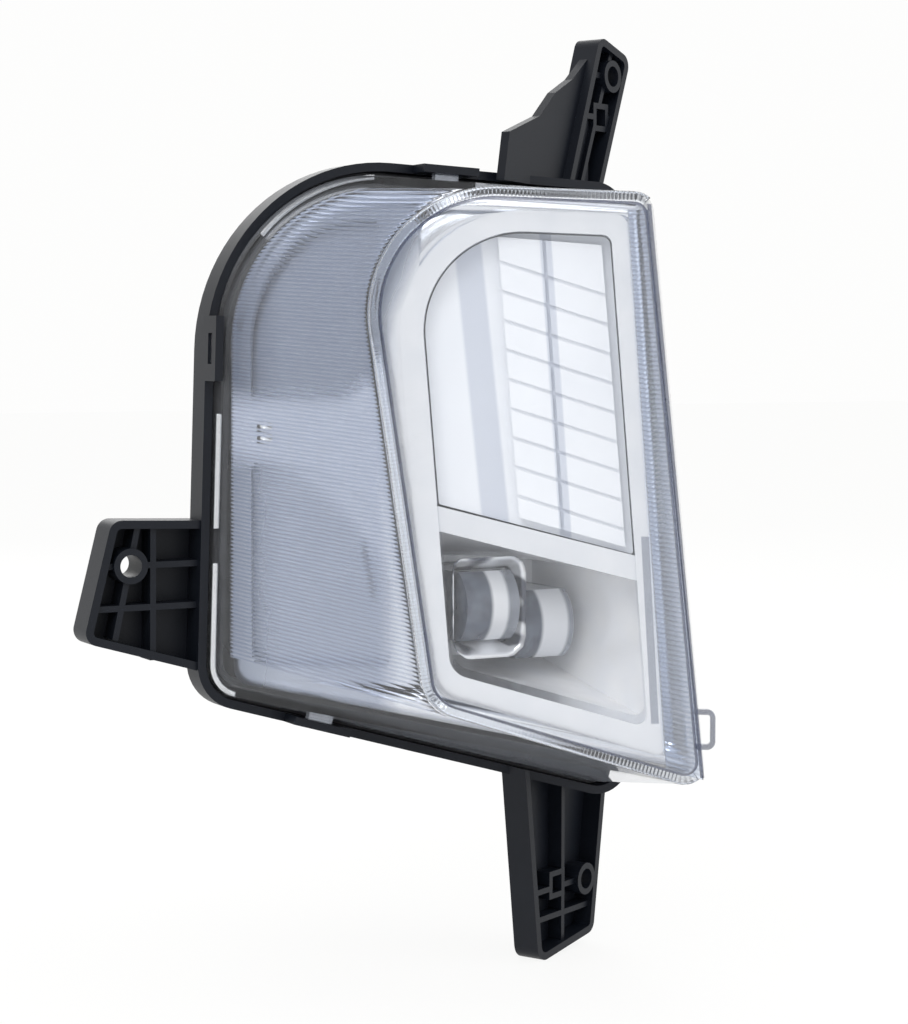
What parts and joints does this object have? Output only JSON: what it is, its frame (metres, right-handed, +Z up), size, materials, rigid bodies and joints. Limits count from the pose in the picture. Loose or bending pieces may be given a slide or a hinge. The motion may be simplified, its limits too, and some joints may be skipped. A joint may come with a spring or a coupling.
{
  "type": "auxiliary driving light",
  "caption": "Car front-corner lamp with a fluted clear cover, a raised window over a daytime light and fog optics, and a black housing with ribbed bracket trays and a rear heat sink.",
  "frame": {"origin": "centre of the side bracket's bore, at the front of its boss", "axes": "+Z up, along the lamp's height; -Y out of the side bracket's bore towards the front of the car; +X to the right seen from the front"},
  "size_m": [0.1958, 0.1723, 0.2949],
  "materials": {
    "black_plastic": "fine moulded grain, satin",
    "clear_lens": "clear polycarbonate, glossy",
    "sealant": "matt",
    "bright_trim": "vacuum metallised",
    "clear_optic": "clear moulded optic",
    "milky_optic": "milky diffusing plastic",
    "white_plastic": "white reflecting plastic",
    "circuit_board": "solder mask",
    "emitter": "phosphor face",
    "thermal_sheet": "soft sheet",
    "cast_aluminium": "die cast, bead blasted",
    "rubber": "matt",
    "zinc_steel": "zinc plated",
    "contact_metal": "plated"
  },
  "bodies": {
    "root": {"housing": "black_plastic", "outer_lens": "clear_lens", "lens_seal": "sealant", "inner_bezel": "bright_trim", "drl_lens": "milky_optic", "drl_light_box": "white_plastic", "drl_board": "circuit_board", "drl_leds": "emitter", "fog_reflector": "bright_trim", "fog_lens": "clear_optic", "cornering_lens": "clear_optic", "fog_board": "circuit_board", "fog_leds": "emitter", "thermal_pad": "thermal_sheet", "heat_sink": "cast_aluminium", "heat_sink_gasket": "rubber", "heat_sink_screws": "zinc_steel", "driver_cover": "black_plastic", "driver_gasket": "rubber", "driver_board": "circuit_board", "connector_socket": "black_plastic", "connector_pins": "contact_metal", "cover_screws": "zinc_steel", "bezel_screws": "zinc_steel", "vent_cap": "black_plastic"}
  },
  "joints": []
}
